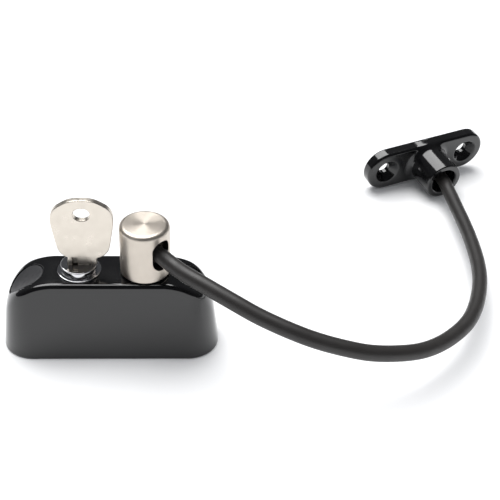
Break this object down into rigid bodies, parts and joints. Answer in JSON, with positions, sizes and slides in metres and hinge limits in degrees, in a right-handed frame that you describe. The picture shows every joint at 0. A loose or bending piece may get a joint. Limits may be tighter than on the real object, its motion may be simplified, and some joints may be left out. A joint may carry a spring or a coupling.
{
  "type": "window restrictor cable",
  "caption": "Key-released window restrictor: black lock body with slotted swivel barrel, short sheathed steel cable and a screw-on frame bracket.",
  "frame": {"origin": "centre of the lock body's fixing face", "axes": "+X along the lock body from the lock cylinder to the swivel barrel, +Z out of the fixing face, towards the key"},
  "size_m": [0.1753, 0.1409, 0.0531],
  "materials": {
    "black_enamel": "gloss black enamel on die-cast zinc",
    "cap_plastic": "matte dark grey moulded plastic",
    "chrome": "bright plated lock cylinder",
    "stainless": "turned and brushed stainless steel",
    "key_nickel": "nickel-plated stamped key, slightly warm",
    "steel": "plain machined steel",
    "zinc_plate": "zinc-plated pressed steel",
    "brass": "stamped brass",
    "cable_pvc": "semi-matte black PVC sheath",
    "wire_rope": "galvanised steel wire rope"
  },
  "bodies": {
    "lock_body": {"lock_body": "black_enamel", "base_plate": "zinc_plate", "base_plate_screws": "zinc_plate", "screw_cap_left": "cap_plastic", "screw_cap_right": "cap_plastic", "cylinder_housing": "chrome", "cylinder_clip": "steel", "socket_bush": "steel"},
    "plug": {"cylinder_plug": "chrome", "wafers": "brass", "cam": "steel", "cam_screw": "zinc_plate"},
    "key": {"key": "key_nickel"},
    "bolt": {"locking_bolt": "steel"},
    "spigot": {"spigot": "steel"},
    "barrel": {"swivel_barrel": "stainless", "barrel_ring": "steel"},
    "cable": {"cable_ball_end": "steel", "cable_sheath": "cable_pvc", "wire_rope": "wire_rope", "cable_end_stop": "steel"},
    "bracket": {"bracket": "black_enamel"}
  },
  "joints": [
    {"name": "plug_turn", "type": "hinge", "parent": "lock_body", "child": "plug", "pos_m": [-0.0091, 0, 0.027], "axis": [0, 0, 1], "range_deg": [0, 90]},
    {"name": "key_withdraw", "type": "slide", "parent": "plug", "child": "key", "axis": [0, 0, 1], "range_m": [0, 0.024]},
    {"name": "bolt_slide", "type": "slide", "parent": "lock_body", "child": "bolt", "axis": [1, 0, 0], "range_m": [0, 0.0023]},
    {"name": "spigot_release", "type": "slide", "parent": "lock_body", "child": "spigot", "axis": [0, 0, 1], "range_m": [0, 0.028]},
    {"name": "barrel_swivel", "type": "hinge", "parent": "spigot", "child": "barrel", "pos_m": [0.0112, 0, 0.027], "axis": [0, 0, 1], "range_deg": [-100, 170]},
    {"name": "cable_lift", "type": "hinge", "parent": "barrel", "child": "cable", "pos_m": [0.0112, 0, 0.037], "axis": [-0.7071, -0.7071, 0], "range_deg": [0, 15]},
    {"name": "bracket_swivel", "type": "hinge", "parent": "cable", "child": "bracket", "pos_m": [0.1224, 0.0817, 0.0074], "axis": [-0.3878, 0.9136, 0.1219], "continuous": true}
  ],
  "couplings": [
    {"joint": "bolt_slide", "follows": "plug_turn", "m_per_rad": 0.001464}
  ]
}
